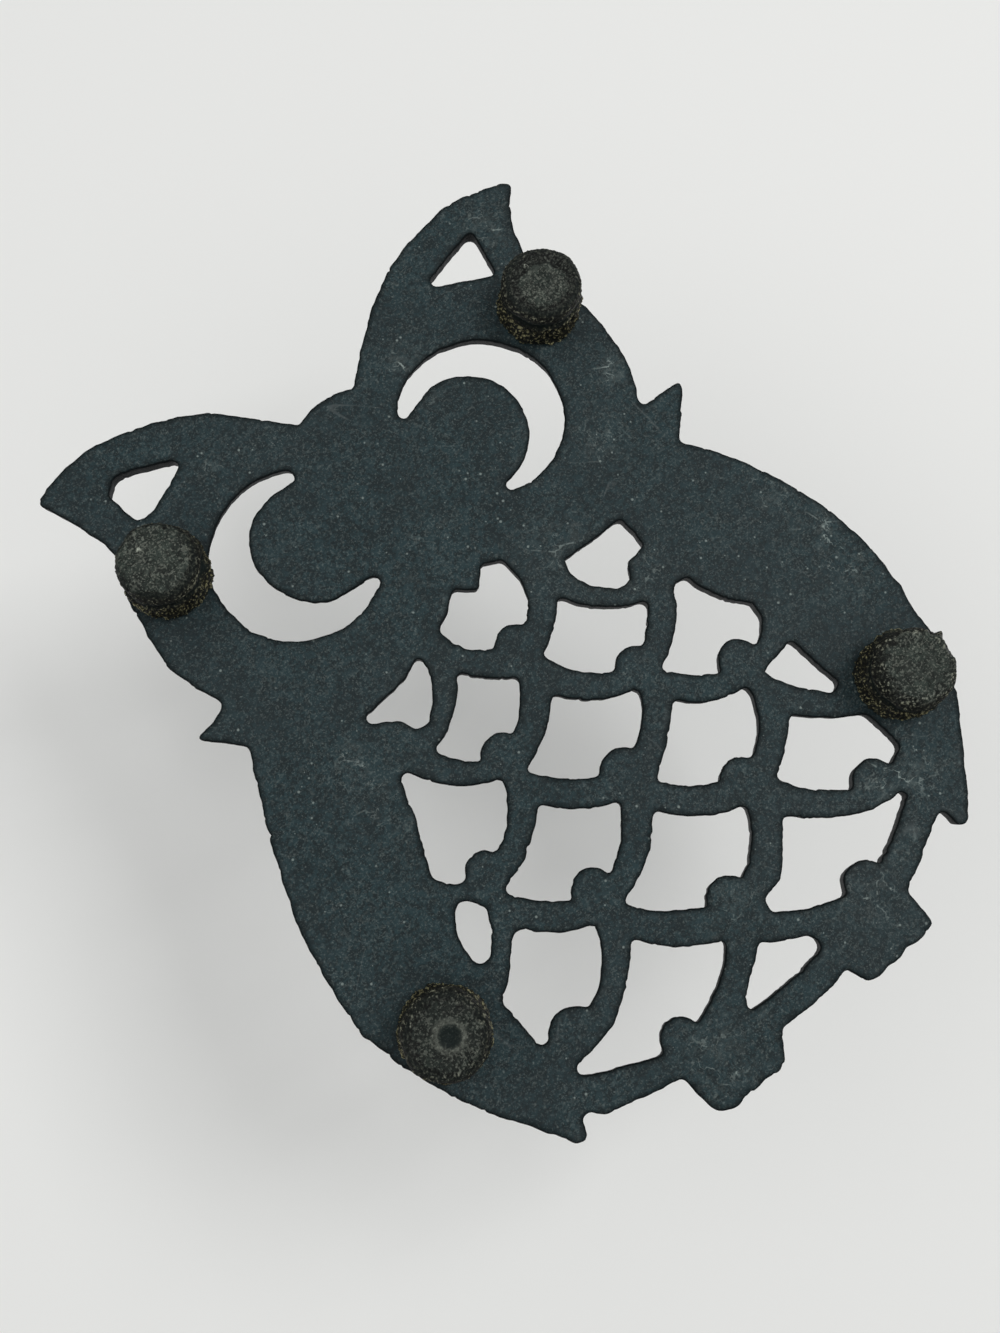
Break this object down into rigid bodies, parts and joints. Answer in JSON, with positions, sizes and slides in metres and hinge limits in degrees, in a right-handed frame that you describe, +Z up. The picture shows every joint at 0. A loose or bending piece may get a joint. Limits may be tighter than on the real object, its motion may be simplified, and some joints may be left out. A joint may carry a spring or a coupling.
{
  "type": "trivet",
  "caption": "Openwork cast iron trivet in the outline of an owl, with pierced feathers and rubber-capped legs, that holds a hot dish off the table.",
  "frame": {"origin": "on the table, under the middle of the plate's outline", "axes": "+Z up through the plate from its rubber feet to its feathered face, +Y towards the owl's ears, +X to the right seen from above"},
  "size_m": [0.101, 0.13, 0.0128],
  "materials": {
    "casting": "matt dark grey-green cast skin with fine pale grains and light scuffs",
    "foot_rubber": "dusty brown-black rubber, gritty, worn brown at its edges"
  },
  "bodies": {
    "root": {"owl_casting": "casting", "foot_cap_ear_left": "foot_rubber", "foot_cap_ear_right": "foot_rubber", "foot_cap_wing_left": "foot_rubber", "foot_cap_wing_right": "foot_rubber"}
  },
  "joints": []
}
